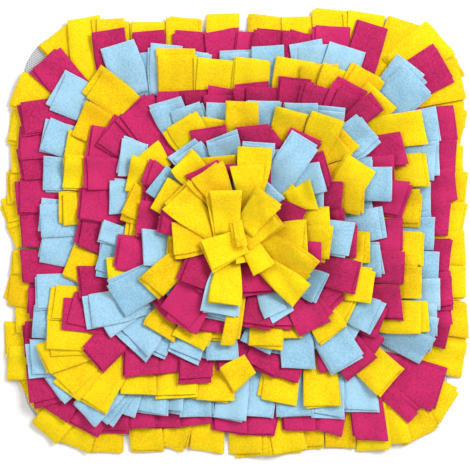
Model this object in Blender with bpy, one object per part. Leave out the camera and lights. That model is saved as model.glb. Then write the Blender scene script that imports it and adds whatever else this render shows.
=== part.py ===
"""Snuffle mat: a rounded air-mesh backing laid flat, with rows of folded felt fringe sewn on it.

Frame: +Z up, origin on the underside under the middle of the whole mat, +X along the longer side.
Each row is one felt band, folded in two along its sewn edge and cut into tabs, so it is one comb.
Its tabs lean outwards over the tabs of the next row out, like shingles, and climb towards the middle.
"""

import math
import random
from collections import namedtuple

import bmesh
import bpy
from mathutils import Vector

MM = 0.001
QUARTER = math.pi / 2

# Backing: a little smaller than the reach of the outer tabs.
BACKING_HALF_X = 213.0
BACKING_HALF_Y = 203.0
BACKING_RADIUS = 55.0
BACKING_THICK = 3.0
BACKING_ARC_STEPS = 10

# Felt: two layers of one folded band lie together in each tab.
FELT_THICK = 1.4
LAYER_GAP = 0.2
TAB_THICK = 2 * FELT_THICK + LAYER_GAP
REST_GAP = 0.3
TAB_PITCH = 32.5
TAB_GAP = 1.4

# A row lies flat over this width, where it is sewn.
SEWN_WIDTH = 4.0

# Stitch lines: rounded rectangles, which drift a little to one corner over the outer rows.
SIDE_RATIO = 0.945
CORNER_RADIUS = 12.0
CORNER_SHARE = 0.14
DRIFT = Vector((7.0, 4.0))
DRIFT_ROWS = 5
SPREAD = 25.0

# Unevenness of the cut and of the way the tabs lie.
REACH_JITTER = 2.5
SKEW_JITTER = 1.2
SWAY = 0.045
TABS_PER_SWAY = 21

FELT_COLOURS = {
    "yellow": (0.95, 0.68, 0.01, 1.0),
    "pink": (0.66, 0.02, 0.15, 1.0),
    "blue": (0.38, 0.67, 0.85, 1.0),
}
BACKING_COLOUR = (0.62, 0.63, 0.63, 1.0)

# felt: colour. stitch: half the long side of the stitch line. right, left, back, front: how far from the
# origin the tips lie on each side. out, knee: where the step up ends, and its height at mid thickness.
# climb: rise of the tab from there to its tip, per millimetre outwards.
Row = namedtuple("Row", "felt stitch right left back front out knee climb")
ROWS = (
    Row("yellow", 176, 231, 231, 221, 222, 8.0, 5.6, 0.00),
    Row("pink", 160, 215, 215, 204, 198, 8.0, 9.0, 0.08),
    Row("blue", 144, 201, 193, 183, 183, 8.0, 9.0, 0.29),
    Row("yellow", 128, 185, 172, 173, 166, 8.0, 9.0, 0.30),
    Row("pink", 112, 166, 152, 149, 144, 8.0, 9.0, 0.31),
    Row("blue", 97, 146, 129, 132, 126, 8.0, 9.0, 0.32),
    Row("yellow", 83, 130, 117, 125, 114, 8.0, 9.0, 0.33),
    Row("pink", 70, 119, 100, 108, 100, 8.0, 9.0, 0.35),
    Row("blue", 58, 106, 91, 98, 91, 8.0, 9.6, 0.37),
    Row("yellow", 46, 96, 84, 90, 81, 8.0, 11.2, 0.37),
    Row("pink", 35, 87, 74, 82, 74, 8.0, 13.5, 0.36),
    Row("blue", 25, 80, 66, 74, 67, 7.5, 16.5, 0.34),
    Row("yellow", 15, 73, 58, 67, 60, 7.0, 20.0, 0.31),
    Row("yellow", 5, 63, 49, 58, 51, 5.5, 24.0, 0.28),
)

Line = namedtuple("Line", "middle half_x half_y radius")


def clear_scene():
    for obj in list(bpy.data.objects):
        bpy.data.objects.remove(obj, do_unlink=True)


def cloth_material(name, colour):
    material = bpy.data.materials.new(name)
    material.use_nodes = True
    shader = material.node_tree.nodes["Principled BSDF"]
    shader.inputs["Base Color"].default_value = colour
    shader.inputs["Roughness"].default_value = 0.95
    shader.inputs["Metallic"].default_value = 0.0
    return material


def add_object(name, bm, material):
    bmesh.ops.recalc_face_normals(bm, faces=bm.faces)
    mesh = bpy.data.meshes.new(name)
    bm.to_mesh(mesh)
    bm.free()
    mesh.materials.append(material)
    obj = bpy.data.objects.new(name, mesh)
    bpy.context.scene.collection.objects.link(obj)
    return obj


def facing(angle):
    return Vector((math.cos(angle), math.sin(angle)))


def stitch_line(index, row):
    drift = DRIFT * min(1.0, index / DRIFT_ROWS)
    half_y = row.stitch * SIDE_RATIO
    radius = min(0.85 * half_y, CORNER_RADIUS + CORNER_SHARE * row.stitch)
    return Line(drift, row.stitch, half_y, radius)


def spread_length(line):
    """Length of the curve that runs SPREAD outside a stitch line."""
    return 4 * (line.half_x + line.half_y - 2 * line.radius) + 4 * QUARTER * (line.radius + SPREAD)


def point_round(line, share):
    """Foot point and outward normal at a share of the way round a stitch line.

    The share is measured on the curve SPREAD outside it, so tabs that fan out round a corner are as
    far apart there as they are along a side.
    """
    bend = QUARTER * (line.radius + SPREAD)
    distance = (share % 1.0) * spread_length(line)
    for side in range(4):
        half_side, depth = (line.half_x, line.half_y) if side % 2 else (line.half_y, line.half_x)
        straight = 2 * (half_side - line.radius)
        normal = facing(side * QUARTER)
        along = Vector((-normal.y, normal.x))
        if distance <= straight:
            return line.middle + normal * depth + along * (distance - straight / 2), normal
        distance -= straight
        if distance <= bend or side == 3:
            centre = normal * (depth - line.radius) + along * (straight / 2)
            turned = facing(side * QUARTER + distance / (line.radius + SPREAD))
            return line.middle + centre + turned * line.radius, turned
        distance -= bend


def reach_towards(line, row, normal):
    """Length of a tab from stitch line to tip, eased from each side's value to the next at a corner."""
    right = row.right - line.half_x - line.middle.x
    left = row.left - line.half_x + line.middle.x
    back = row.back - line.half_y - line.middle.y
    front = row.front - line.half_y + line.middle.y
    across = right if normal.x > 0 else left
    return across * normal.x**2 + (back if normal.y > 0 else front) * normal.y**2


def moved_sideways(points, distance):
    """A section line moved sideways, with mitred bends."""
    moved = []
    for i, point in enumerate(points):
        before = (point - points[max(i - 1, 0)]).normalized()
        after = (points[min(i + 1, len(points) - 1)] - point).normalized()
        before, after = (before if i else after), (after if i + 1 < len(points) else before)
        middle = (before + after).normalized()
        moved.append(point + Vector((-middle.y, middle.x)) * (distance / middle.dot(before)))
    return moved


def tab_section(row, reach):
    """Lower and upper lines of a tab's section, as (distance out, height), from the seam to the tip."""
    seam = BACKING_THICK + REST_GAP + TAB_THICK / 2
    middle = [
        Vector((0.0, seam)),
        Vector((SEWN_WIDTH, seam)),
        Vector((row.out, row.knee)),
        Vector((reach, row.knee + row.climb * (reach - row.out))),
    ]
    return moved_sideways(middle, -TAB_THICK / 2), moved_sideways(middle, TAB_THICK / 2)


def fringe_row(index, row, material):
    """One comb: a closed band along the stitch line, with a tab from each stretch of its outer edge."""
    line = stitch_line(index, row)
    count = round(spread_length(line) / TAB_PITCH)
    swings = max(1, round(count / TABS_PER_SWAY))
    dice = random.Random(index)
    start = dice.random()
    bm = bmesh.new()

    def vertex(plan, height):
        return bm.verts.new((plan.x * MM, plan.y * MM, height * MM))

    # Band: inner and outer edge, lower and upper, at each cut between two tabs.
    section = tab_section(row, row.right)
    columns = []
    for i in range(count):
        foot, normal = point_round(line, (i + start) / count)
        columns.append([[vertex(foot + normal * s[end].x, s[end].y) for s in section] for end in (0, 1)])

    for i in range(count):
        (inner_a, root_a), (inner_b, root_b) = columns[i], columns[(i + 1) % count]
        bm.faces.new((inner_a[0], root_a[0], root_b[0], inner_b[0]))
        bm.faces.new((inner_a[1], inner_b[1], root_b[1], root_a[1]))
        bm.faces.new((inner_a[0], inner_b[0], inner_b[1], inner_a[1]))

        # Tab: four corners at the knee, then four at the tip, joined to the band's outer edge.
        edges = [point_round(line, (i + start + side) / count) for side in (0, 1)]
        centre, outward = point_round(line, (i + start + 0.5) / count)
        along = Vector((-outward.y, outward.x))
        sway = SWAY * math.sin(2 * math.pi * (swings * i / count + start))
        skew = dice.uniform(-SKEW_JITTER, SKEW_JITTER)
        reach = reach_towards(line, row, outward) + dice.uniform(-REACH_JITTER, REACH_JITTER)
        lower, upper = tab_section(row, reach)
        ring = (root_a[0], root_a[1], root_b[1], root_b[0])
        for station, skewed in ((2, 0.0), (3, skew)):
            corners = []
            for side, s in ((0, lower), (0, upper), (1, upper), (1, lower)):
                foot, normal = edges[side]
                out, height = s[station]
                sign = 2 * side - 1
                room = abs((foot + normal * out - centre).dot(along)) - TAB_GAP / 2
                half = min((TAB_PITCH - TAB_GAP) / 2, room)
                plan = centre + outward * (out + sign * skewed)
                plan += along * (sign * half + sway * (out - SEWN_WIDTH))
                corners.append(vertex(plan, height))
            for a in range(4):
                b = (a + 1) % 4
                bm.faces.new((ring[a], ring[b], corners[b], corners[a]))
            ring = corners
        bm.faces.new(ring)
    return add_object(f"fringe_{index + 1:02d}_{row.felt}", bm, material)


def backing(material):
    """The mesh cloth under the fringe: a flat sheet with round corners."""
    corner = Vector((BACKING_HALF_X - BACKING_RADIUS, BACKING_HALF_Y - BACKING_RADIUS))
    bm = bmesh.new()
    rim = []
    for side, (sign_x, sign_y) in enumerate(((1, 1), (-1, 1), (-1, -1), (1, -1))):
        for step in range(BACKING_ARC_STEPS + 1):
            turned = facing((side + step / BACKING_ARC_STEPS) * QUARTER) * BACKING_RADIUS
            x, y = corner.x * sign_x + turned.x, corner.y * sign_y + turned.y
            rim.append(bm.verts.new((x * MM, y * MM, 0.0)))
    underside = bm.faces.new(rim)
    raised = bmesh.ops.extrude_face_region(bm, geom=[underside])["geom"]
    upper = [item for item in raised if isinstance(item, bmesh.types.BMVert)]
    bmesh.ops.translate(bm, verts=upper, vec=(0.0, 0.0, BACKING_THICK * MM))
    return add_object("backing", bm, material)


def centre_on_origin(objects):
    """Slide the whole mat in its plane, so that the middle of its reach is over the origin."""
    places = [vertex.co for obj in objects for vertex in obj.data.vertices]
    for axis in (0, 1):
        middle = (min(p[axis] for p in places) + max(p[axis] for p in places)) / 2
        for place in places:
            place[axis] -= middle


def build():
    clear_scene()
    felts = {name: cloth_material(f"felt_{name}", colour) for name, colour in FELT_COLOURS.items()}
    pieces = [backing(cloth_material("backing_mesh", BACKING_COLOUR))]
    pieces += [fringe_row(index, row, felts[row.felt]) for index, row in enumerate(ROWS)]
    centre_on_origin(pieces)


build()
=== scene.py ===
"""Snuffle mat, finished: felt fringe rows laid tab by tab over an air-mesh backing.

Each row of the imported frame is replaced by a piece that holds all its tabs. A tab is two layers of felt,
as the band is folded along its seam. Rows go down from the outside in, and every layer is draped over a
height map of what already lies there. Where layers are steep or lean, one can still dip about a
millimetre into the next. Sizes are in millimetres until the mesh is made. The frame's own boxes say how
far the plain tabs of each row reach. Most tabs aren't plain: the table LAID places them one by one.
"""

from collections import namedtuple

import bpy
import numpy as np
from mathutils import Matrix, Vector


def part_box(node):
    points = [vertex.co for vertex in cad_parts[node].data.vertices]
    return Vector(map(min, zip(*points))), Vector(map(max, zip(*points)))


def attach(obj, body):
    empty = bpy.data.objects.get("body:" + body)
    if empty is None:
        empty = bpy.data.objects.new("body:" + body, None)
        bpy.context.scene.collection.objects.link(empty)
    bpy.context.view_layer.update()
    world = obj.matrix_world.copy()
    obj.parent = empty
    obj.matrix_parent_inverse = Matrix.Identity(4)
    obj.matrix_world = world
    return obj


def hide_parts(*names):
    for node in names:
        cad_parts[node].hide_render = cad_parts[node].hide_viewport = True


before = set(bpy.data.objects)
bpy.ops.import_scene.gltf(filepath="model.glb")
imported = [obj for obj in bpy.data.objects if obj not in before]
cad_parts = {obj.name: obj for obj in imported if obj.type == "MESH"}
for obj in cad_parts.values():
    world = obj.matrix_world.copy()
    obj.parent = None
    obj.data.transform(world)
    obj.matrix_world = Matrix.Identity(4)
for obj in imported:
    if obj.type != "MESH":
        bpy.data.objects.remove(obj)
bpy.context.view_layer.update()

MM = 0.001

# Felt, and how the bands are cut.
FELT = 1.2
AIR = 0.2  # between two layers
TAB_PITCH = 32.5
TAB_WIDTH = 32.0
TAB_USUAL = 52.0
TAB_LONGEST = 74.0
END_PLAY = 2.5  # how far plain tabs stop short of their row's box
SPREAD = 25.0  # from the seam to where a tab has its full width
BAND_STEP = np.array((41.0, 67.0))  # from one layer's patch of cloth to the next one's
BAND_WRAP = np.array((977.0, 1009.0))

# Backing, and the thread of the running stitches on its underside.
BACKING_RADIUS = 55.0
BACKING_ROUND = 1.2
BACKING_INSETS = (0.0, 0.25, 0.8, 1.6, 4.0)  # grid lines inside its edge
BACKING_INNER = 0.94  # the outermost of the even grid lines, as a share of the half side
BACKING_LINES = 12
THREAD = 0.35  # level of the backing's underside, so that the thread fits below it
THREAD_FOOT = 0.02  # level of the thread's lowest face
THREAD_SUNK = 0.1  # how far its highest face is inside the backing
THREAD_NARROW = 0.28  # half the width of the lowest face
THREAD_WIDE = 0.45  # half the width of the highest one
THREAD_SHORT = 0.25  # how much shorter the lowest face is at each end
STITCH_PITCH = 4.0
STITCH_LONG = 3.0

# Stitch lines, as they are sewn on the backing.
SIDE_RATIO = 0.945  # short side over long side
CORNER_RADIUS = 12.0
CORNER_SHARE = 0.14  # how much of the row's half length the corner radius gains
CORNER_MOST = 0.85  # the largest radius, as a share of the short half side
CORNER_STEPS = 31  # lines that a corner has in the table of a stitch line
DRIFT = np.array((7.0, 4.0))  # of the inner rows' middle from the mat's
DRIFT_ROWS = 5  # rows over which it grows
LINE_PARTS = 12  # points on each piece of a stitch line where a laid tab may be sewn

# The grid of one layer, with a narrow loop inside its cut edge, which is drawn in by a share of the felt.
ACROSS = 9
ALONG = 12
ROUND = 0.7
TUCK = 0.32

# The patch of samples that a layer is draped on. Falls are the steepest of the felt off a step, from one
# sample to the next. Reaches are how many samples it stands clear of a step, and is eased over.
PATCH_STEP = 1.5
PATCH_MARGIN = 4.5
FALL_ALONG = 0.7
FALL_ACROSS = 0.8
REACH_ALONG = 2
REACH_ACROSS = 1
COVER_STEP = 0.8  # between the points of a laid layer that go on the pile

# How a tab stands off what is below. Waves are radians along its whole length and across half its width.
CURL_FROM = 0.6  # share of the length at which the end begins to roll up
RIPPLE_WAVE = (5.0, 1.8)
CREASE_WAVES = ((2.2, 1.4), (3.4, -1.2))
CREASE_PHASES = (3, 5)
CRUMPLE = (0.5, 1.2)  # least of it, and how much more at most, for each millimetre of lift over CALM
CALM = 0.6
LOWER = 0.4  # what a lower layer has of an upper one's lift and curl
LEAN = 0.5  # at most, up or down, for each millimetre of lift
CURL = (0.1, 0.5)  # mean and scatter, for each millimetre of lift
RIPPLE = 0.3  # at most

# Scatter between tabs and between the two layers of a tab, as standard deviations. Turns are in degrees,
# slant and flare are shares of the width, and the others are in millimetres.
SEED = 100
FAN_MOST = 2  # headings stay within this many deviations
TAB_SCATTER = {"width": 0.8, "turn": 3.4, "length": 1.0, "slant": 0.05, "flare": 0.04, "bend": 1.2}
LAYER_SCATTER = {"place": 1.0, "turn": 1.0, "slant": 0.03, "bow": 1.0}

# felt: colour. stitch: half the long side of the stitch line. fan, corner_fan: scatter of the tabs'
# headings in degrees, along a side and at a corner. lift: how far tips may stand off what is below. plain:
# length of the tabs that aren't in the table LAID, as a share of the row's usual one. There are none at 0.
Row = namedtuple("Row", "felt stitch fan corner_fan lift plain")
ROWS = (
    Row("yellow", 176, 3.0, 9.0, 0.8, 0.97),
    Row("pink", 160, 3.0, 10.0, 1.0, 0.93),
    Row("blue", 144, 4.0, 11.0, 1.2, 0.90),
    Row("yellow", 128, 4.0, 12.0, 1.2, 0.90),
    Row("pink", 112, 5.0, 12.0, 1.2, 0.84),
    Row("blue", 97, 6.0, 13.0, 1.2, 0.76),
    Row("yellow", 83, 7.0, 13.0, 1.2, 0.74),
    Row("pink", 70, 8.0, 13.0, 1.2, 0.72),
    Row("blue", 58, 9.0, 13.0, 1.2, 0.66),
    Row("yellow", 46, 10.0, 13.0, 1.2, 0.62),
    Row("pink", 35, 10.0, 13.0, 1.2, 0.58),
    Row("blue", 25, 10.0, 12.0, 1.2, 0.50),
    Row("yellow", 15, 10.0, 12.0, 1.8, 0.0),
    Row("yellow", 5, 10.0, 12.0, 2.4, 0.0),
)

# Tabs that lie in a way of their own, by row number, the topmost last. x, y: the middle of the cut end, in
# millimetres from the middle of the mat. heading: degrees from +X. width: of the cut end; 0 leaves the
# place without a tab. under: how much longer the lower layer is. twist: how many degrees it is turned.
# curl: how far the end rolls up. length: from the cut end back to the foot, where it isn't measured to the
# stitch line.
LAID_DEFAULTS = (33.0, None, None, 0.0, None)
Laid = namedtuple("Laid", "x y heading width under twist curl length", defaults=LAID_DEFAULTS)
LAID = {
    1: (
        (-205, 178, 135, 0), (-201, -178, -142), (-209, -158, -157), (-12, 220, 89), (29, 219, 90),
        (63, 217, 89), (98, 222, 88, 35), (133, 220, 84, 36), (174, 213, 68, 38, 0, 2, 0, 74),
        (206, 195, 35, 38), (228, 152, 11, 38, 0, 2, 0, 74), (228, 105, -2), (226, 75, 2), (230, 47, -2),
        (229, 17, 0), (231, -17, 0), (231, -48, 0), (233, -83, 0), (229, -127, -7), (217, -174, -31, 36),
        (185, -203, -63, 36), (158, -212, -80), (137, -218, -88), (105, -214, -90), (72, -213, -88),
        (53, -216, -80), (12, -221, -88), (-30, -220, -94), (-63, -214, -107, 25), (-91, -217, -90),
        (-129, -217, -92), (-159, -213, -107), (-189, -201, -128, 34), (-224, -128, 180),
        (-218, -85, 180), (-228, -55, 172), (-223, -28, 180, 24), (-225, -4, 203, 24),
        (-232, 20, 197, 24), (-226, 47, 181), (-228, 77, 181), (-225, 108, 168),
        (-221, 144, 163, 36, 0, 2, 0, 66), (-180, 201, 124, 38), (-152, 216, 96, 33, 0, 2, 0, 74),
        (-122, 214, 90), (-87, 213, 90, 34), (-52, 216, 90),
    ),
    2: (
        (-158, 190, 115, 0), (-212, 142, 160, 0), (162, 203, 60, 0), (187, 190, 45, 0), (213, 142, 20, 0),
        (165, -198, -60, 0), (195, -172, -40, 0), (-130, 201, 100), (-84, 204, 90), (-47, 199, 92),
        (-16, 202, 100), (12, 202, 85, 22), (33, 203, 86), (63, 201, 86), (96, 206, 90, 34),
        (139, 207, 73, 32, 0, 2, 0, 62), (208, 170, 29, 38), (218, 111, 3, 33, 1, 1, 0, 52), (217, 72, 0),
        (218, 46, 3), (213, 15, 0), (214, -23, -2), (217, -56, 7), (209, -102, -13, 24),
        (206, -154, -17, 42, 1, 2, 0, 64), (182, -183, -42, 14, 0, 0), (136, -206, -83), (88, -200, -104),
        (64, -198, -89), (25, -198, -99), (-5, -199, -90), (-40, -194, -90), (-72, -194, -90),
        (-98, -198, -92), (-124, -198, -91), (-150, -195, -118), (-183, -179, -122, 34),
        (-206, -153, -167, 36), (-213, -102, 180), (-209, -68, 180), (-211, -36, 184), (-213, 2, 180),
        (-215, 38, 180), (-213, 68, 186), (-215, 92, 180), (-211, 116, 186), (-184, 177, 126, 36, 3, 11),
    ),
    3: (
        (-152, 165, 135, 0), (-192, 38, 180, 0), (-191, 99, 164), (-179, 141, 158, 39, 3, -4),
        (-115, 187, 106, 37, 4, 5), (-68, 187, 88), (-38, 182, 80), (-2, 181, 95), (34, 186, 90),
        (78, 187, 90), (112, 186, 70, 36), (174, 169, 54), (180, 154, 43, 38), (148, 180, 60, 0),
        (203, 107, 3, 33, 1, 1, 0, 52), (200, 70, 0), (196, 35, 2), (199, 0, 0), (202, -34, -3),
        (203, -62, 0), (204, -82, 0), (180, -142, -40, 0), (163, -163, -50, 0),
        (198, -100, -12, 33, 1, 2, 0, 60), (191, -120, -31, 30, 1, 2, 0, 66), (127, -178, -88),
        (92, -181, -92), (60, -180, -85), (22, -181, -96), (-6, -183, -96), (-40, -181, -90),
        (-64, -177, -98, 22), (-88, -178, -100), (-114, -179, -110, 22), (-133, -187, -125, 22),
        (-153, -176, -137), (-181, -159, -140), (-205, -124, 180), (-199, -88, 178), (-198, -55, 180),
        (-195, -13, 171), (-193, 14, 181), (-189, 61, 175),
    ),
    4: (
        (-100, 172, 120, 0), (125, -165, -60, 0), (-137, 151, 142, 34), (-168, 86, 168),
        (-156, 113, 160, 36), (-56, 180, 86, 36), (-16, 173, 83, 40), (17, 173, 86, 35),
        (58, 172, 82, 38), (85, 169, 88, 36), (103, 164, 72), (135, 162, 60, 34), (146, 141, 47, 38),
        (188, 105, 5), (189, 62, 2), (184, 25, 0), (185, -15, -3), (184, -48, 0), (186, -82, 0),
        (152, -149, -46, 36), (85, -171, -90, 35), (43, -168, -98, 35), (-20, -166, -90, 37),
        (-59, -162, -90, 42), (-97, -160, -90, 36), (-143, -168, -120), (-170, -148, -135),
        (-190, -128, -157), (-187, -98, 175), (-181, -68, 176), (-167, -27, 155), (-170, 25, 184),
        (-168, 64, 173),
    ),
    5: (
        (-80, 142, 110, 0), (-125, 108, 142, 36, 2, 2, 0, 62), (-101, 129, 128, 40, 3, 2, 0, 72),
        (-60, 141, 90, 34), (-35, 142, 90), (-12, 138, 90), (15, 149, 98), (28, 145, 90), (60, 151, 88),
        (84, 144, 74), (114, 145, 66), (121, 137, 60, 37), (136, 131, 44, 22), (152, 115, 35, 0),
        (168, 87, 10), (163, 60, 0), (168, 32, -12), (164, -2, 0), (168, -32, 0), (166, -67, 0),
        (147, -90, -15), (126, -134, -57, 36), (52, -143, -102), (24, -135, -115), (-40, -143, -92),
        (-96, -143, -92), (-142, -124, -136), (-163, -73, 168), (-153, -50, 182), (-155, 4, 162),
        (-152, 30, 171), (-145, 60, 180),
    ),
    6: (
        (-92, 108, 130, 0), (-68, 128, 114), (-49, 126, 106), (-16, 130, 90, 24), (30, 130, 88),
        (68, 130, 83), (135, 106, 40, 35), (153, 47, -4), (145, 8, 7), (146, -27, -1), (139, -82, -19),
        (113, -129, -58, 36), (60, -133, -90), (20, -117, -111), (-15, -125, -88), (-52, -122, -107),
        (-101, -108, -135, 38), (-133, -87, -149), (-143, -77, -170), (-136, -24, 169),
        (-134, 2, 165, 20), (-126, 35, 183), (-114, 75, 176, 38),
    ),
    7: (
        (-84, 102, 130, 0), (-100, -62, -150, 0), (118, 58, 20, 34, 0, 2, 0, 50), (-89, 81, 130),
        (-57, 112, 121, 36), (7, 130, 90), (58, 124, 75), (93, 113, 67), (127, 71, 57), (126, 37, -5),
        (128, -15, -2), (138, -53, -7), (97, -98, -55), (33, -111, -92),
        (-7, -144, -148, 28, 0, 3, 0, 28), (-43, -110, -113), (-128, -38, 182), (-103, 60, 165),
        (-109, 33, 158),
    ),
    8: (
        (-52, 98, 120, 0), (-24, 104, 98, 36, 2, 2), (46, 92, 35), (20, 106, 90), (70, 98, 66),
        (93, 62, 12, 33, 1, 2, 0, 44), (121, -8, -10), (118, -45, -15), (80, -95, -60), (21, -91, -95),
        (-23, -98, -93), (-56, -89, -126), (-76, -69, -140), (-115, -17, 170), (-98, 18, 172),
        (-86, 60, 157, 26),
    ),
    9: (
        (20, -80, -90, 0), (-76, 52, 147), (-51, 82, 131), (-14, 93, 106), (26, 88, 80), (88, 28, 4),
        (87, 56, 12, 32, 1, 2, 0, 40), (70, 92, 56, 30, 2, 2, 0, 66), (116, -9, -10), (87, -54, -21),
        (46, -80, -62, 26), (-21, -81, -104), (-117, -67, -149, 34), (-91, -14, 175, 36, 1),
    ),
    10: (
        (55, 74, 50, 0), (20, -68, -90, 0), (-77, 40, 152, 36), (-52, 72, 133), (-81, -51, -138, 28),
        (-7, -111, -100, 14), (93, 11, 3), (94, -7, -3), (78, 40, 20, 30, -10, 14, 3.0),
    ),
    11: (
        (50, 50, 45, 0), (-35, 67, 122, 34), (-7, 68, 98), (-72, 14, 168, 26),
        (62, 8, -30, 28, 0, 3, 0, 50), (87, -19, -5, 24), (19, -58, -86, 36, 2, 3, 3.0, 62),
        (-60, -84, -126, 36, 8, 8), (-38, -52, -108, 30, 3, -6, 4.0),
    ),
    12: (
        (20, -42, -85, 0), (-38, -38, -120, 0), (52, 14, 0, 0), (46, -60, -60, 0),
        (-16, -78, -99, 34, 0, 2, 0, 60),
    ),
    13: (
        (70, -8, -6, 32, 2, 3, 0, 62), (74, -39, -38, 30, 0, 3, 0, 66), (65, -62, -41, 28, -6, 4, 0, 66),
        (-13, -70, -99, 33, 0, 2, 3.0, 62), (-61, -6, 181), (-58, 41, 134, 34), (-28, 62, 120, 38),
        (14, 69, 90, 34, 17, -6),
    ),
    14: (
        (13, -27, -84, 32, 0, 2, 1.0, 34), (28, -36, -60, 22, 0, 4, 2.5, 44),
        (39, 15, 38, 26, 3, -5, 3.0, 40), (33, 36, 52, 32, 3, 5, 3.5, 42),
        (-12, 41, 95, 34, 1, 2, 1.0, 42), (-29, -24, 203, 34, 2, 2, 1.0, 42),
        (5, -15, -80, 13, -2, 2, 5.0, 26),
    ),
}

# Width at the seam over full width, for the laid tabs of each row.
SEAM_SHARE = (0.9, 0.9, 0.88, 0.86, 0.84, 0.8, 0.78, 0.75, 0.7, 0.65, 0.6, 0.55, 0.5, 0.75)

# A plain tab gives way where its end comes this share of the pitch from a laid one, or from a bare place.
ALONE = 0.6
BARE = 0.9

# What suits a laid tab's foot: a turn from its heading and a length off the usual that count alike.
TURN_SLACK = 0.15
LENGTH_SLACK = 12.0

# Mean and scatter of how much longer the lower layers are: in the first rows, and in the others.
CLOSE_ROWS = 3
LONGER_CLOSE = (0.4, 1.5)
LONGER = (1.5, 2.5)

# A tab of a row closer to the middle than INNER_HALF has its full width further out, by INNER_SPREAD of
# the difference. The tuft is the rows without plain tabs: theirs is further out still, and they crease
# more often.
INNER_HALF = 60.0
INNER_SPREAD = 0.35
TUFT_SPREAD = 16.0
TUFT_CREASES = 2.6


# ---------------------------------------------------------------- laying the tabs


class Pile:
    """How high what is laid so far reaches, on a square grid of 1 mm cells round the mat's middle."""

    HALF = 262

    def __init__(self):
        self.height = np.zeros((2 * self.HALF, 2 * self.HALF))

    def cells(self, x, y):
        """Row and column of the cell nearest to each point, held inside the grid."""
        column = np.clip(np.round(x).astype(int) + self.HALF, 0, 2 * self.HALF - 1)
        row = np.clip(np.round(y).astype(int) + self.HALF, 0, 2 * self.HALF - 1)
        return row, column

    def read(self, x, y):
        """Height at each point."""
        return self.height[self.cells(x, y)]

    def cover(self, x, y, z):
        """Raises each point's cell to z where it is lower."""
        np.maximum.at(self.height, self.cells(x, y), z)

    def take(self, other):
        """Raises every cell to the other pile's where it is lower."""
        np.maximum(self.height, other.height, out=self.height)


def shifted(field, step, axis):
    """The field moved by some samples along an axis, its edge samples repeated."""
    index = np.clip(np.arange(field.shape[axis]) + step, 0, field.shape[axis] - 1)
    return np.take(field, index, axis=axis)


def widest(field, reach, axis):
    """The highest of the samples within reach, along one axis."""
    return np.max([shifted(field, step, axis) for step in range(-reach, reach + 1)], axis=0)


def eased(field, reach, axis):
    """A weighted mean of the samples within reach: weights fall off as the cosine squared."""
    steps = np.arange(-reach, reach + 1)
    weights = np.cos(steps / (reach + 1) * np.pi / 2) ** 2
    weights /= weights.sum()
    return sum(w * shifted(field, int(step), axis) for w, step in zip(weights, steps))


def tented(field, fall, axis):
    """The lowest surface over the field that nowhere falls away faster than `fall` per sample."""
    line = np.moveaxis(field, axis, 0).copy()
    for i in range(1, len(line)):
        line[i] = np.maximum(line[i], line[i - 1] - fall)
    for i in range(len(line) - 2, -1, -1):
        line[i] = np.maximum(line[i], line[i + 1] - fall)
    return np.moveaxis(line, 0, axis)


def stitch_path(index, row):
    """Stitch line as a table of distance, foot and heading, with CORNER_STEPS lines to a corner.

    A corner's foot is its circle's centre plus the radius along the heading. Distance is measured on the
    curve SPREAD outside the line: straights keep their heading, and each corner turns it a quarter at an
    even rate.
    """
    half = np.array((row.stitch, row.stitch * SIDE_RATIO))
    radius = min(CORNER_MOST * half[1], CORNER_RADIUS + CORNER_SHARE * row.stitch)
    drift = DRIFT * min(1.0, index / DRIFT_ROWS)
    turn = np.linspace(0, np.pi / 2, CORNER_STEPS)
    heading = (turn + np.arange(4)[:, None] * np.pi / 2).ravel()
    sign = np.array(((1, 1), (-1, 1), (-1, -1), (1, -1)))
    corner = np.repeat(sign * (half - radius), len(turn), axis=0)
    foot = drift + corner + radius * np.stack((np.cos(heading), np.sin(heading)), axis=1)
    foot = np.vstack((foot, foot[:1]))
    heading = np.append(heading, 2 * np.pi)
    outside = foot + SPREAD * np.stack((np.cos(heading), np.sin(heading)), axis=1)
    step = np.linalg.norm(np.diff(outside, axis=0), axis=1)
    return np.concatenate(([0], np.cumsum(step))), foot, heading


def local_grid(length, width):
    """Distances out and across of a patch that is a margin larger than the tab all round."""
    out = np.arange(-PATCH_MARGIN, length + PATCH_MARGIN + PATCH_STEP, PATCH_STEP)
    side = np.arange(-width / 2 - PATCH_MARGIN, width / 2 + PATCH_MARGIN + PATCH_STEP, PATCH_STEP)
    return out, side


def sample(field, out, side, at_out, at_side):
    """Values of a patch between its samples, by straight lines along both axes."""
    a = np.clip((at_out - out[0]) / (out[1] - out[0]), 0, len(out) - 1.001)
    b = np.clip((at_side - side[0]) / (side[1] - side[0]), 0, len(side) - 1.001)
    i, j = a.astype(int), b.astype(int)
    a, b = a - i, b - j
    near = field[i, j] * (1 - b) + field[i, j + 1] * b
    far = field[i + 1, j] * (1 - b) + field[i + 1, j + 1] * b
    return near * (1 - a) + far * a


def on_plan(tab, out, side):
    """Place on the mat of a point of a tab: its foot, plus out along the heading, plus side across it."""
    along = np.array((np.cos(tab["heading"]), np.sin(tab["heading"])))
    x = tab["x"] + along[0] * out - along[1] * side
    y = tab["y"] + along[1] * out + along[0] * side
    return x, y


def gathered(tab, out, side):
    """Where a point of the flat tab goes once its seam is gathered and its end is cut askew.

    The width grows from the room at the seam to the full one over the tab's spread, as a smooth step. Over
    the outer half it flares a little, and the whole tab bends aside as the square of the distance out.
    """
    grow = np.clip(out / tab["spread"], 0, 1)
    share = tab["seam"] + (1 - tab["seam"]) * grow * grow * (3 - 2 * grow)
    far = np.clip(out / tab["length"], 0, 1.1)
    end = np.clip(2 * far - 1, 0, 1)
    aside = tab["bend"] * far * far
    return out + tab["slant"] * side * end, side * share * (1 + tab["flare"] * end) + aside


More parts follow.
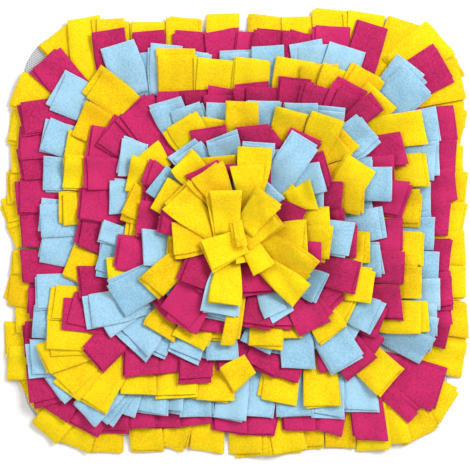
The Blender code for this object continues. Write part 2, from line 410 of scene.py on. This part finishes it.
def hang_shape(tab, out, side):
    """How far a tab stands off what is below, for u from 0 to 1 along it and v from -1 to 1 across it.

    Lift, a bow (one less v squared) or a trough (v squared), a lean in step with v and a sine ripple all
    grow from nothing at the seam, as a smooth step of u. A lean can go down as well as up. The end rolls
    up as the square of u's way past CURL_FROM, more on one side. A crumple is two less the sizes of two
    slanting sine waves, so it comes to a crease where a wave passes nought.
    """
    u = np.clip(out / tab["length"], 0, 1)
    v = side / (tab["width"] / 2)
    grow = u * u * (3 - 2 * u)
    tip = np.clip((u - CURL_FROM) / (1 - CURL_FROM), 0, 1) ** 2
    shape = tab["lift"] * grow
    shape = shape + tab["bow"] * grow * (1 - v * v if tab["bow"] > 0 else -v * v)
    shape = shape + tab["lean"] * grow * (v + 1) / 2
    shape = shape + tab["curl"] * tip * (0.5 + 0.5 * v * tab["curl_side"])
    ripple = tab["phase"] + RIPPLE_WAVE[0] * u + RIPPLE_WAVE[1] * v
    shape = shape + tab["ripple"] * grow * (1 + np.sin(ripple))
    crease = 0.0
    for phase, (along, across) in zip(CREASE_PHASES, CREASE_WAVES):
        wave = tab["phase"] * phase + tab["creases"] * (along * u + across * v)
        crease = crease + np.abs(np.sin(wave))
    return shape + tab["crumple"] * grow * (2.0 - crease)


def drape(tab, below, beside):
    """Height of a tab's underside on a patch round it.

    The slope that fits the ground best is taken off it. Of what is left of the rows below, the highest
    within reach counts, and the tab's own row as it is. That is tented so that the felt spans steps, and
    eased over the same reach, which never takes it under the rows below. Then the slope is put back, and
    the air and the tab's own hang are added, which can.
    """
    out, side = local_grid(tab["length"], tab["width"])
    x, y = on_plan(tab, out[:, None], side[None, :])
    rest, row_rest = below.read(x, y), beside.read(x, y)
    ground = np.maximum(rest, row_rest)
    u, v = (out - out.mean())[:, None], (side - side.mean())[None, :]
    slope_u = (ground * u).sum() / (u**2).sum() / ground.shape[1]
    slope_v = (ground * v).sum() / (v**2).sum() / ground.shape[0]
    plane = slope_u * u + slope_v * v
    clear = widest(widest(rest - plane, REACH_ALONG, 0), REACH_ACROSS, 1)
    raised = np.maximum(clear, row_rest - plane)
    raised = tented(tented(raised, FALL_ALONG, 0), FALL_ACROSS, 1)
    raised = eased(eased(raised, REACH_ALONG, 0), REACH_ACROSS, 1) + plane
    return out, side, raised + AIR + hang_shape(tab, out[:, None], side[None, :])


def layer_mesh(tab, out, side, under):
    """Vertices of one closed layer of felt: an upper and a lower grid, joined round the rim.

    Rows of the grid run across the tab. On the three cut sides a loop lies ROUND inside the rim, and the
    rim itself is drawn in from both faces by TUCK of the thickness, which rounds the edge. UV is the flat
    tab's own distance across and along.
    """
    half = tab["width"] / 2
    across = np.concatenate(([-half], np.linspace(-half + ROUND, half - ROUND, ACROSS - 2), [half]))
    length = tab["length"]
    along = np.concatenate((np.linspace(0, length - ROUND, ALONG - 1), [length]))
    flat_u, flat_v = np.meshgrid(along, across, indexing="ij")
    u, v = gathered(tab, flat_u, flat_v)
    x, y = on_plan(tab, u, v)
    z = sample(under, out, side, u, v)
    rim = np.zeros_like(u)
    rim[-1, :] = rim[:, 0] = rim[:, -1] = 1.0
    tuck = TUCK * FELT * rim
    upper = np.stack((x, y, z + FELT - tuck), axis=-1)
    lower = np.stack((x, y, z + tuck), axis=-1)
    uv = np.stack((flat_v + half, flat_u), axis=-1)
    return upper, lower, uv, rim


def sheet_faces(along, across):
    """Quads of a closed sheet: upper grid, lower grid turned over, and the rim between them."""
    index = np.arange(along * across).reshape(along, across)
    quad = np.stack((index[:-1, :-1], index[1:, :-1], index[1:, 1:], index[:-1, 1:]), axis=-1)
    upper = quad.reshape(-1, 4)
    lower = upper[:, ::-1] + along * across
    loop = np.concatenate((index[:-1, 0], index[-1, :-1], index[:0:-1, -1], index[0, :0:-1]))
    after = np.roll(loop, -1)
    under = along * across
    rim = np.stack((after, loop, loop + under, after + under), axis=-1)
    return np.vstack((upper, lower, rim))


def lay(tab, below, beside):
    """Drapes one layer and adds its upper face to the height map of its own row."""
    out, side, under = drape(tab, below, beside)
    half, hair = tab["width"] / 2, 0.01
    fine_out = np.arange(0, tab["length"] + hair, COVER_STEP)
    fine_side = np.arange(-half, half + hair, COVER_STEP)
    u, v = gathered(tab, *np.meshgrid(fine_out, fine_side, indexing="ij"))
    x, y = on_plan(tab, u, v)
    beside.cover(x, y, sample(under, out, side, u, v) + FELT)
    return layer_mesh(tab, out, side, under)


def laid_feet(laid, foot):
    """Foot, heading and length of each tab laid one by one, worked back from its cut end.

    Where the table gives no length, it is measured from the point of the stitch line that costs least:
    the square of the turn between the way to the end and the heading, plus the square of the length off
    the usual, each over its slack first. The foot lies that length back along the heading, TAB_LONGEST at
    most, so the end is where the table says.
    """
    tip = np.array([(t.x, t.y) for t in laid], float)
    heading = np.radians([t.heading for t in laid])
    pieces = zip(foot[:-1], foot[1:])
    line = np.vstack([np.linspace(a, b, LINE_PARTS, endpoint=False) for a, b in pieces])
    gap = tip[:, None] - line[None]
    turned = np.arctan2(gap[..., 1], gap[..., 0]) - heading[:, None]
    turned = (turned + np.pi) % (2 * np.pi) - np.pi
    length = np.hypot(gap[..., 0], gap[..., 1])
    cost = (turned / TURN_SLACK) ** 2 + ((length - TAB_USUAL) / LENGTH_SLACK) ** 2
    best = cost.argmin(axis=1)
    each = np.arange(len(laid))
    back = np.array([t.length or 0.0 for t in laid])
    reach = np.minimum(np.where(back > 0, back, length[each, best]), TAB_LONGEST)
    feet = tip - reach[:, None] * np.stack((np.cos(heading), np.sin(heading)), axis=1)
    return feet, heading, reach


def plain_tabs(index, row, dice):
    """Tabs at even steps along the stitch line: foot, heading, length, width and seam share of each.

    Headings scatter about the line's own, more at its corners. The length is what the row's box leaves
    past the line, mixed from both ways by the squares of the heading's cosine and sine, less the end's
    play and times the row's share. The seam share is one less SPREAD times the line's turn over one pitch,
    over the pitch: the room that a corner leaves.
    """
    distance, foot, heading = stitch_path(index, row)
    count = int(round(distance[-1] / TAB_PITCH))
    at = (np.arange(count) + dice.random()) / count % 1.0 * distance[-1]
    x, y = np.interp(at, distance, foot[:, 0]), np.interp(at, distance, foot[:, 1])
    head = np.interp(at, distance, heading)
    low, high = (np.array(v)[:2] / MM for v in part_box(f"fringe_{index + 1:02d}_{row.felt}"))
    across, back = np.cos(head), np.sin(head)
    reach_x = np.where(across > 0, high[0] - foot[:, 0].max(), foot[:, 0].min() - low[0])
    reach_y = np.where(back > 0, high[1] - foot[:, 1].max(), foot[:, 1].min() - low[1])
    length = (reach_x * across**2 + reach_y * back**2 - END_PLAY) * row.plain
    cornered = np.abs(np.sin(2 * head))
    halves = (TAB_PITCH / 2, -TAB_PITCH / 2)
    ahead, behind = (np.interp((at + half) % distance[-1], distance, heading) for half in halves)
    seam = 1 - SPREAD * ((ahead - behind) % (2 * np.pi)) / TAB_PITCH
    fan = np.radians(row.fan + (row.corner_fan - row.fan) * cornered)
    head = head + dice.normal(0, 1, count).clip(-FAN_MOST, FAN_MOST) * fan
    width = TAB_WIDTH + dice.normal(0, TAB_SCATTER["width"], count)
    return np.stack((x, y), axis=1), head, length, width, seam


def row_tabs(index, row):
    """The tabs of a row in the order they are laid, plain ones first, each as a lower and an upper layer.

    A plain tab is left out where its end comes near a laid one or a bare place. The layers share the place
    and shape of their pair, and each adds scatter of its own. The lower one is also longer or shorter, and
    turned.
    """
    dice = np.random.default_rng(SEED + index)
    foot, head, length, width, seam = plain_tabs(index, row, dice)
    count = len(foot)
    order = list(dice.permutation(count)) if row.plain else []
    ends = foot + length[:, None] * np.stack((np.cos(head), np.sin(head)), axis=1)
    table = [Laid(*tab) for tab in LAID[index + 1]]
    for tab in table:
        room = (ALONE if tab.width else BARE) * TAB_PITCH
        order = [i for i in order if np.hypot(*(ends[i] - (tab.x, tab.y))) > room]
    laid = [tab for tab in table if tab.width]
    spot, turned, reach = laid_feet(laid, stitch_path(index, row)[1])
    order += range(count, count + len(laid))
    foot, head = np.vstack((foot, spot)), np.append(head, turned)
    length = np.append(length, reach)
    width = np.append(width, [tab.width for tab in laid])
    seam = np.append(seam, [SEAM_SHARE[index]] * len(laid))
    own = [Laid(0, 0, 0)] * count + laid
    tuft = row.plain == 0
    spread = SPREAD + max(0.0, INNER_HALF - row.stitch) * INNER_SPREAD + (TUFT_SPREAD if tuft else 0.0)
    for i in order:
        longer = dice.normal(*(LONGER_CLOSE if index < CLOSE_ROWS else LONGER))
        longer = longer if own[i].under is None else own[i].under
        turn = dice.normal(0, TAB_SCATTER["turn"]) if own[i].twist is None else own[i].twist
        pair = {
            "x": foot[i, 0],
            "y": foot[i, 1],
            "heading": head[i],
            "length": length[i] + dice.normal(0, TAB_SCATTER["length"]),
            "width": width[i],
            "slant": dice.normal(0, TAB_SCATTER["slant"]),
            "flare": dice.normal(0, TAB_SCATTER["flare"]),
            "bend": dice.normal(0, TAB_SCATTER["bend"]),
            "crumple": (row.lift - CALM) * (CRUMPLE[0] + CRUMPLE[1] * dice.random()),
            "seam": seam[i],
            "spread": spread,
            "creases": TUFT_CREASES if tuft else 1.0,
            "tone": dice.normal(0, 1),
        }
        for layer in (0, 1):
            share = LOWER + (1 - LOWER) * layer
            turned = np.radians(turn) * (1 - layer)
            yield {
                **pair,
                "x": pair["x"] + dice.normal(0, LAYER_SCATTER["place"]),
                "y": pair["y"] + dice.normal(0, LAYER_SCATTER["place"]),
                "heading": pair["heading"] + turned + np.radians(dice.normal(0, LAYER_SCATTER["turn"])),
                "length": min(pair["length"] + longer * (1 - layer), TAB_LONGEST),
                "slant": pair["slant"] + dice.normal(0, LAYER_SCATTER["slant"]),
                "lift": row.lift * dice.random() * share,
                "bow": dice.normal(0, LAYER_SCATTER["bow"]),
                "lean": row.lift * LEAN * dice.random() * dice.choice((-1, 1)) if layer else 0.0,
                "curl": row.lift * max(0.0, dice.normal(*CURL)) + own[i].curl * share,
                "curl_side": dice.choice((-1, 1)),
                "ripple": RIPPLE * dice.random(),
                "phase": dice.random() * 2 * np.pi,
            }


# ---------------------------------------------------------------- meshes and materials


def cloth_mesh(name, points, faces, uv, floats, material):
    """A smooth mesh from whole arrays in millimetres: points, quads, their UV, and named point values."""
    mesh = bpy.data.meshes.new(name)
    mesh.vertices.add(len(points))
    mesh.vertices.foreach_set("co", (points * MM).astype(np.float32).ravel())
    mesh.loops.add(faces.size)
    mesh.loops.foreach_set("vertex_index", faces.astype(np.int32).ravel())
    mesh.polygons.add(len(faces))
    mesh.polygons.foreach_set("loop_start", np.arange(0, faces.size, 4, dtype=np.int32))
    mesh.update(calc_edges=True)
    mesh.polygons.foreach_set("use_smooth", np.ones(len(faces), dtype=bool))
    layer = mesh.uv_layers.new(name="UVMap")
    layer.data.foreach_set("uv", (uv[faces.ravel()] * MM).astype(np.float32).ravel())
    for key, values in floats.items():
        mesh.attributes.new(key, "FLOAT", "POINT").data.foreach_set("value", values.astype(np.float32))
    mesh.materials.append(material)
    mesh.validate()
    obj = bpy.data.objects.new(name, mesh)
    bpy.context.scene.collection.objects.link(obj)
    return obj


def new_group(name, inputs, outputs):
    """An empty shader group with named sockets: (name, kind, default) in, (name, kind) out."""
    group = bpy.data.node_groups.new(name, "ShaderNodeTree")
    for label, kind, default in inputs:
        socket = group.interface.new_socket(label, in_out="INPUT", socket_type=kind)
        socket.default_value = default
    for label, kind in outputs:
        group.interface.new_socket(label, in_out="OUTPUT", socket_type=kind)
    return group, group.nodes.new("NodeGroupInput"), group.nodes.new("NodeGroupOutput")


def add_node(tree, kind, settings=None, **inputs):
    """A node with its settings and its inputs, each a value or the socket that feeds it. i0 is input 0."""
    node = tree.nodes.new(kind)
    for key, value in (settings or {}).items():
        setattr(node, key, value)
    for key, value in inputs.items():
        numbered = key[0] == "i" and key[1:].isdigit()
        socket = node.inputs[int(key[1:])] if numbered else node.inputs[key]
        if isinstance(value, bpy.types.NodeSocket):
            tree.links.new(value, socket)
        else:
            socket.default_value = value
    return node


def math_node(tree, operation, first, second=0.0, clamp=False):
    """The result of a sum, product or other operation on two values."""
    settings = {"operation": operation, "use_clamp": clamp}
    return add_node(tree, "ShaderNodeMath", settings, i0=first, i1=second).outputs[0]


def times(tree, first, second, clamp=False):
    """The product of two values."""
    return math_node(tree, "MULTIPLY", first, second, clamp)


def plus(tree, first, second):
    """The sum of two values."""
    return math_node(tree, "ADD", first, second)


def less(tree, first, second):
    """The first value less the second."""
    return math_node(tree, "SUBTRACT", first, second)


def mixed(tree, factor, first, second):
    """The first colour at factor 0 and the second at 1, straight between them."""
    settings = {"data_type": "RGBA"}
    return add_node(tree, "ShaderNodeMix", settings, i0=factor, i6=first, i7=second).outputs[2]


def noise(tree, place, scale, detail, roughness=0.5):
    """Cloudy noise from 0 to 1, with about `scale` lumps to a metre."""
    settings = {"Vector": place, "Scale": scale, "Detail": detail, "Roughness": roughness}
    return add_node(tree, "ShaderNodeTexNoise", **settings).outputs["Fac"]


def attribute(tree, name):
    """A point value that the mesh carries."""
    return add_node(tree, "ShaderNodeAttribute", {"attribute_name": name}).outputs["Fac"]


def felt_group():
    """Felt: a cloudy tone, fine pressed fibres, painted highlight specks, and a painted rim on the cut
    edges.

    Depth is 0.9 less the cloud, plus 4.5 times the fibres' noise about its middle, plus 0.22 of the tab's
    tone, all times the mottle. It leads from the colour to the deep one. The painted highlight specks are
    twice what the nap's noise has over 0.55. The edge's mask times its amount lays the edge colour over
    both:
    a rim of painted shade on pink and of painted highlight on blue and yellow. Roughness and height go up
    with the nap, and height mostly with the fibres.
    """
    group, source, sink = new_group(
        "Felt",
        (
            ("Colour", "NodeSocketColor", (0.5, 0.5, 0.5, 1)),
            ("Deep Colour", "NodeSocketColor", (0.3, 0.3, 0.3, 1)),
            ("Edge Colour", "NodeSocketColor", (0.8, 0.8, 0.8, 1)),
            ("Painted Glint Colour", "NodeSocketColor", (0.8, 0.8, 0.8, 1)),
            ("Edge Amount", "NodeSocketFloat", 0.4),
            ("Mottle", "NodeSocketFloat", 0.5),
        ),
        (("Colour", "NodeSocketColor"), ("Roughness", "NodeSocketFloat"), ("Height", "NodeSocketFloat")),
    )
    place = add_node(group, "ShaderNodeTexCoord").outputs["Object"]
    cloud = noise(group, place, scale=55.0, detail=3.0)
    fibre = noise(group, place, scale=480.0, detail=4.0, roughness=0.8)
    nap = noise(group, place, scale=1000.0, detail=2.0, roughness=0.8)
    speck = times(group, less(group, fibre, 0.5), 4.5)
    depth = plus(group, less(group, 0.9, cloud), speck)
    depth = plus(group, depth, times(group, attribute(group, "tone"), 0.22))
    depth = times(group, depth, source.outputs["Mottle"], clamp=True)
    body = mixed(group, depth, source.outputs["Colour"], source.outputs["Deep Colour"])
    # Painted highlight: pale specks where the nap's noise is high, standing in for fibres that catch the
    # light.
    fleck = times(group, less(group, nap, 0.55), 2.0, clamp=True)
    body = mixed(group, fleck, body, source.outputs["Painted Glint Colour"])
    # Painted rim on the cut edges: darker, as painted shade, on pink; paler, as painted highlight, on blue
    # and yellow.
    painted_rim = times(group, attribute(group, "cut_edge"), source.outputs["Edge Amount"], clamp=True)
    colour = mixed(group, painted_rim, body, source.outputs["Edge Colour"])
    group.links.new(colour, sink.inputs["Colour"])
    group.links.new(plus(group, 0.86, times(group, nap, 0.14)), sink.inputs["Roughness"])
    height = plus(group, times(group, fibre, 0.7), times(group, nap, 0.3))
    group.links.new(height, sink.inputs["Height"])
    return group


def cloth_material(name, group, bump, sheen, values):
    """A Principled cloth fed by a group's colour, roughness and height, which is bump millimetres high."""
    material = bpy.data.materials.new(name)
    material.use_nodes = True
    tree = material.node_tree
    shader = tree.nodes["Principled BSDF"]
    node = add_node(tree, "ShaderNodeGroup", {"node_tree": group})
    for key, value in values.items():
        node.inputs[key].default_value = value
    height = node.outputs["Height"]
    raised = add_node(tree, "ShaderNodeBump", Height=height, Distance=bump * MM, Strength=1.0)
    tree.links.new(node.outputs["Colour"], shader.inputs["Base Color"])
    tree.links.new(node.outputs["Roughness"], shader.inputs["Roughness"])
    tree.links.new(raised.outputs["Normal"], shader.inputs["Normal"])
    shader.inputs["Specular IOR Level"].default_value = 0.15
    shader.inputs["Sheen Weight"].default_value = sheen
    shader.inputs["Sheen Roughness"].default_value = 0.6
    return material


def air_mesh_group():
    """Air mesh: a net of knitted cells on a triangle lattice, painted shade in its openings, and plain
    thread.

    Three cosines along directions a sixth of a turn apart, one wave to 0.866 of a cell, add up to 3 at the
    lattice's points. An opening is 0.8 of what they have over 0.4. It lays painted shade, a darker grey,
    over the yarn in place of real holes, dents the height, and the thread's mask covers both.
    """
    group, source, sink = new_group(
        "Air Mesh",
        (
            ("Yarn", "NodeSocketColor", (0.7, 0.7, 0.7, 1)),
            ("Painted Opening Shade", "NodeSocketColor", (0.4, 0.4, 0.4, 1)),
            ("Thread", "NodeSocketColor", (0.8, 0.8, 0.8, 1)),
            ("Cell Size", "NodeSocketFloat", 0.0024),
        ),
        (("Colour", "NodeSocketColor"), ("Roughness", "NodeSocketFloat"), ("Height", "NodeSocketFloat")),
    )
    place = add_node(group, "ShaderNodeTexCoord").outputs["Object"]
    sewn = attribute(group, "thread")
    waves = 0.0
    for turn in (0.0, 60.0, 120.0):
        way = (np.cos(np.radians(turn)), np.sin(np.radians(turn)), 0.0)
        dot = {"operation": "DOT_PRODUCT"}
        ahead = add_node(group, "ShaderNodeVectorMath", dot, i0=place, i1=way).outputs["Value"]
        turned = times(group, ahead, 2 * np.pi / 0.866)
        phase = math_node(group, "DIVIDE", turned, source.outputs["Cell Size"])
        waves = plus(group, waves, math_node(group, "COSINE", phase))
    opening = times(group, less(group, waves, 0.4), 0.8, clamp=True)
    knit = noise(group, place, scale=1800.0, detail=2.0)
    cloud = noise(group, place, scale=40.0, detail=2.0)
    # Random mottle of the yarn's tone, mixed toward the darker grey of the openings.
    yarn_mottle = times(group, plus(group, knit, cloud), 0.25)
    yarn = mixed(group, yarn_mottle, source.outputs["Yarn"], source.outputs["Painted Opening Shade"])
    # Painted shade: the openings take a darker grey in place of real holes.
    net = mixed(group, opening, yarn, source.outputs["Painted Opening Shade"])
    group.links.new(mixed(group, sewn, net, source.outputs["Thread"]), sink.inputs["Colour"])
    group.links.new(plus(group, 0.75, times(group, knit, 0.2)), sink.inputs["Roughness"])
    dent = times(group, opening, less(group, 1.0, sewn))
    group.links.new(less(group, times(group, knit, 0.25), dent), sink.inputs["Height"])
    return group


FELT_GROUP = felt_group()
AIR_MESH = cloth_material(
    "air_mesh",
    air_mesh_group(),
    bump=0.5,
    sheen=0.05,
    values={
        "Yarn": (0.66, 0.67, 0.69, 1),
        # Painted shade: the darker grey of the openings.
        "Painted Opening Shade": (0.33, 0.34, 0.37, 1),
        "Thread": (0.80, 0.79, 0.76, 1),
        "Cell Size": 0.0024,
    },
)

# colour, deep: lit nap and the tone between its fibres. edge, edge_amount: colour painted on the cut edge,
# a rim of painted shade on pink and of painted highlight on blue and yellow, and how much of it shows. The
# speck colour is a painted highlight: pale specks for stray fibres that catch the light. sheen: weight of
# the sheen.
Dye = namedtuple("Dye", "colour deep edge edge_amount fleck sheen")
DYES = {
    "yellow": Dye(
        colour=(0.98, 0.75, 0.003, 1),
        deep=(0.87, 0.49, 0.001, 1),
        edge=(1.0, 0.78, 0.07, 1),
        edge_amount=0.35,
        fleck=(1.0, 0.84, 0.05, 1),
        sheen=0.04,
    ),
    "pink": Dye(
        colour=(0.63, 0.022, 0.146, 1),
        deep=(0.36, 0.007, 0.068, 1),
        edge=(0.45, 0.010, 0.08, 1),
        edge_amount=0.45,
        fleck=(0.74, 0.06, 0.26, 1),
        sheen=0.08,
    ),
    "blue": Dye(
        colour=(0.395, 0.665, 0.86, 1),
        deep=(0.23, 0.48, 0.67, 1),
        edge=(0.72, 0.82, 0.92, 1),
        edge_amount=0.60,
        fleck=(0.52, 0.74, 0.90, 1),
        sheen=0.08,
    ),
}
FELTS = {
    name: cloth_material(
        f"felt_{name}",
        FELT_GROUP,
        bump=1.5,
        sheen=dye.sheen,
        values={
            "Colour": dye.colour,
            "Deep Colour": dye.deep,
            # Painted: the edge colour, a rim of painted shade on pink and of painted highlight on blue and
            # yellow, and the speck colour, painted highlight.
            "Edge Colour": dye.edge,
            "Edge Amount": dye.edge_amount,
            "Painted Glint Colour": dye.fleck,
            "Mottle": 0.8,
        },
    )
    for name, dye in DYES.items()
}


def fringe_piece(index, row, below):
    """All the tabs of one row as one piece, laid over what is below and added to it.

    Each layer's UV is moved by its number of steps, wrapped, so that the layers carry different patches
    of cloth.
    """
    beside = Pile()
    template = sheet_faces(ALONG, ACROSS)
    points, uvs, faces, rims, tones = [], [], [], [], []
    for number, tab in enumerate(row_tabs(index, row)):
        upper, lower, uv, rim = lay(tab, below, beside)
        faces.append(template + number * 2 * ALONG * ACROSS)
        points += [upper.reshape(-1, 3), lower.reshape(-1, 3)]
        uvs += [uv.reshape(-1, 2) + number * BAND_STEP % BAND_WRAP] * 2
        rims += [rim.ravel()] * 2
        tones.append(np.full(2 * ALONG * ACROSS, tab["tone"]))
    below.take(beside)
    name = f"fringe_{index + 1:02d}_{row.felt}"
    piece = cloth_mesh(
        f"felt_{name}",
        np.vstack(points),
        np.vstack(faces),
        np.vstack(uvs),
        {"cut_edge": np.concatenate(rims), "tone": np.concatenate(tones)},
        FELTS[row.felt],
    )
    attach(piece, "root")
    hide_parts(name)


def rounded(square, half, radius):
    """Points of a rounded rectangle for points of the square from -1 to 1.

    A point on the square's edge goes to the rectangle's edge, and in a corner it is drawn in to the
    corner's circle. Inner points lie between the centre and their edge point, by their share of the way.
    """
    share = np.abs(square).max(axis=-1, keepdims=True)
    edge = np.divide(square, share, out=np.zeros_like(square), where=share > 0) * half
    core = half - radius
    over = np.abs(edge) - core
    inner = np.sign(edge) * core
    reach = np.linalg.norm(edge - inner, axis=-1, keepdims=True)
    drawn = inner + (edge - inner) * radius / np.maximum(reach, 1e-9)
    return np.where((over > 0).all(axis=-1, keepdims=True), drawn, edge) * share


def running_stitches(index, row, top):
    """Boxes for the thread of one stitch line: eight corners each, wider and longer at the top.

    Their middles lie at even steps of about the stitch pitch along the line, and their ends half a stitch
    ahead and behind on it.
    """
    foot = stitch_path(index, row)[1]
    step = np.linalg.norm(np.diff(foot, axis=0), axis=1)
    along = np.concatenate(([0], np.cumsum(step)))
    count = max(6, int(round(along[-1] / STITCH_PITCH)))
    middle = (np.arange(count) + 0.5) / count * along[-1]
    ends = []
    for half in (-STITCH_LONG / 2, STITCH_LONG / 2):
        at = (middle + half) % along[-1]
        ends.append(np.stack([np.interp(at, along, foot[:, axis]) for axis in (0, 1)], axis=1))
    out = (ends[1] - ends[0]) / np.linalg.norm(ends[1] - ends[0], axis=1, keepdims=True)
    side = np.stack((-out[:, 1], out[:, 0]), axis=1)
    boxes = []
    for level, wide, short in ((THREAD_FOOT, THREAD_NARROW, THREAD_SHORT), (top, THREAD_WIDE, 0.0)):
        for a, b in ((0, -1), (1, -1), (1, 1), (0, 1)):
            at = ends[a] - out * short * (2 * a - 1) + side * wide * b
            boxes.append(np.column_stack((at, np.full(count, level))))
    return np.stack(boxes, axis=1)


def backing_piece():
    """The air-mesh backing: one closed sheet with a rounded rim, and the rows' stitches on its underside.

    Grid lines crowd towards the edge. There both faces curve in as a quarter circle: its radius,
    BACKING_ROUND, less the root of the radius squared less the square of what is left of it at that depth
    inside the edge.
    """
    low, high = (np.array(v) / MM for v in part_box("backing"))
    centre, half = (low + high)[:2] / 2, (high - low)[:2] / 2
    inset = np.array(BACKING_INSETS)
    level = np.concatenate((1 - inset / half.max(), np.linspace(BACKING_INNER, 0.0, BACKING_LINES)[:-1]))
    line = np.concatenate((-level, [0.0], level[::-1]))
    square = np.stack(np.meshgrid(line, line, indexing="ij"), axis=-1)
    plan = rounded(square, half, BACKING_RADIUS) + centre
    depth = (1 - np.abs(square).max(axis=-1)) * half.max()
    left = np.maximum(BACKING_ROUND - depth, 0)
    curve = BACKING_ROUND - np.sqrt(np.maximum(BACKING_ROUND**2 - left**2, 0))
    upper = np.dstack((plan, high[2] - curve))
    lower = np.dstack((plan, low[2] + THREAD + curve))
    count = len(line)
    sheet = sheet_faces(count, count)
    top = THREAD + THREAD_SUNK
    stitches = np.concatenate([running_stitches(i, row, top) for i, row in enumerate(ROWS)])
    box = np.array(((3, 2, 1, 0), (4, 5, 6, 7), (0, 1, 5, 4), (1, 2, 6, 5), (2, 3, 7, 6), (3, 0, 4, 7)))
    boxes = box[None] + 8 * np.arange(len(stitches))[:, None, None] + 2 * count * count
    points = np.vstack((upper.reshape(-1, 3), lower.reshape(-1, 3), stitches.reshape(-1, 3)))
    thread = np.zeros(len(points))
    thread[2 * count * count :] = 1.0
    piece = cloth_mesh(
        "air_mesh_backing",
        points,
        np.vstack((sheet, boxes.reshape(-1, 4))),
        points[:, :2] - low[:2],
        {"thread": thread},
        AIR_MESH,
    )
    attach(piece, "root")
    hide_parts("backing")


def backing_ground():
    """The height map with only the backing on it: its top wherever a cell is within its rounded outline.

    A cell is inside where it lies no more than the corner radius from the rectangle of the corners'
    centres.
    """
    ground = Pile()
    low, high = (np.array(v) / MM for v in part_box("backing"))
    centre, half, radius = (low + high)[:2] / 2, (high - low)[:2] / 2, BACKING_RADIUS
    row, column = np.mgrid[0 : 2 * Pile.HALF, 0 : 2 * Pile.HALF] - Pile.HALF
    dx = np.maximum(np.abs(column - centre[0]) - (half[0] - radius), 0)
    dy = np.maximum(np.abs(row - centre[1]) - (half[1] - radius), 0)
    ground.height[np.hypot(dx, dy) <= radius] = high[2]
    return ground


pile = backing_ground()
backing_piece()
for index, row in enumerate(ROWS):
    fringe_piece(index, row, pile)


# ---------------------------------------------------------------- floor, light and camera


def lamp(name, at, size, power):
    """A round soft light, so many metres across and so many watts, that faces the middle of the mat."""
    light = bpy.data.lights.new(name, "AREA")
    light.shape, light.size, light.energy = "DISK", size, power
    obj = bpy.data.objects.new(name, light)
    obj.location = at
    aim = -obj.location
    obj.rotation_euler = aim.to_track_quat("-Z", "Y").to_euler()
    bpy.context.scene.collection.objects.link(obj)


def stage():
    """A white floor, two soft lights under a white sky, and a camera that looks straight down.

    Its lens is the sensor's width times the distance over the width in view, at the level of the felt.
    """
    reach = 3.0
    floor_mesh = bpy.data.meshes.new("floor")
    corners = [(-reach, -reach, 0), (reach, -reach, 0), (reach, reach, 0), (-reach, reach, 0)]
    floor_mesh.from_pydata(corners, [], [(0, 1, 2, 3)])
    floor = bpy.data.objects.new("floor", floor_mesh)
    bpy.context.scene.collection.objects.link(floor)
    paint = bpy.data.materials.new("floor_white")
    paint.use_nodes = True
    shader = paint.node_tree.nodes["Principled BSDF"]
    shader.inputs["Base Color"].default_value = (0.93, 0.93, 0.93, 1)
    shader.inputs["Roughness"].default_value = 0.9
    floor_mesh.materials.append(paint)

    lamp("key", (1.2, 0.9, 2.0), size=1.1, power=44.0)
    lamp("fill", (-1.2, 0.6, 2.2), size=1.6, power=14.0)
    world = bpy.data.worlds.new("studio")
    bpy.context.scene.world = world
    world.use_nodes = True
    sky = world.node_tree.nodes["Background"]
    sky.inputs["Color"].default_value = (1, 1, 1, 1)
    sky.inputs["Strength"].default_value = 0.58

    width, distance, level, middle = 0.470, 3.0, 0.01, -0.0015
    camera = bpy.data.cameras.new("camera")
    camera.sensor_width = 36.0
    camera.lens = camera.sensor_width * distance / width
    obj = bpy.data.objects.new("camera", camera)
    obj.location = (0.0, middle, distance + level)
    bpy.context.scene.collection.objects.link(obj)
    bpy.context.scene.camera = obj
    bpy.context.scene.view_settings.view_transform = "Standard"


stage()
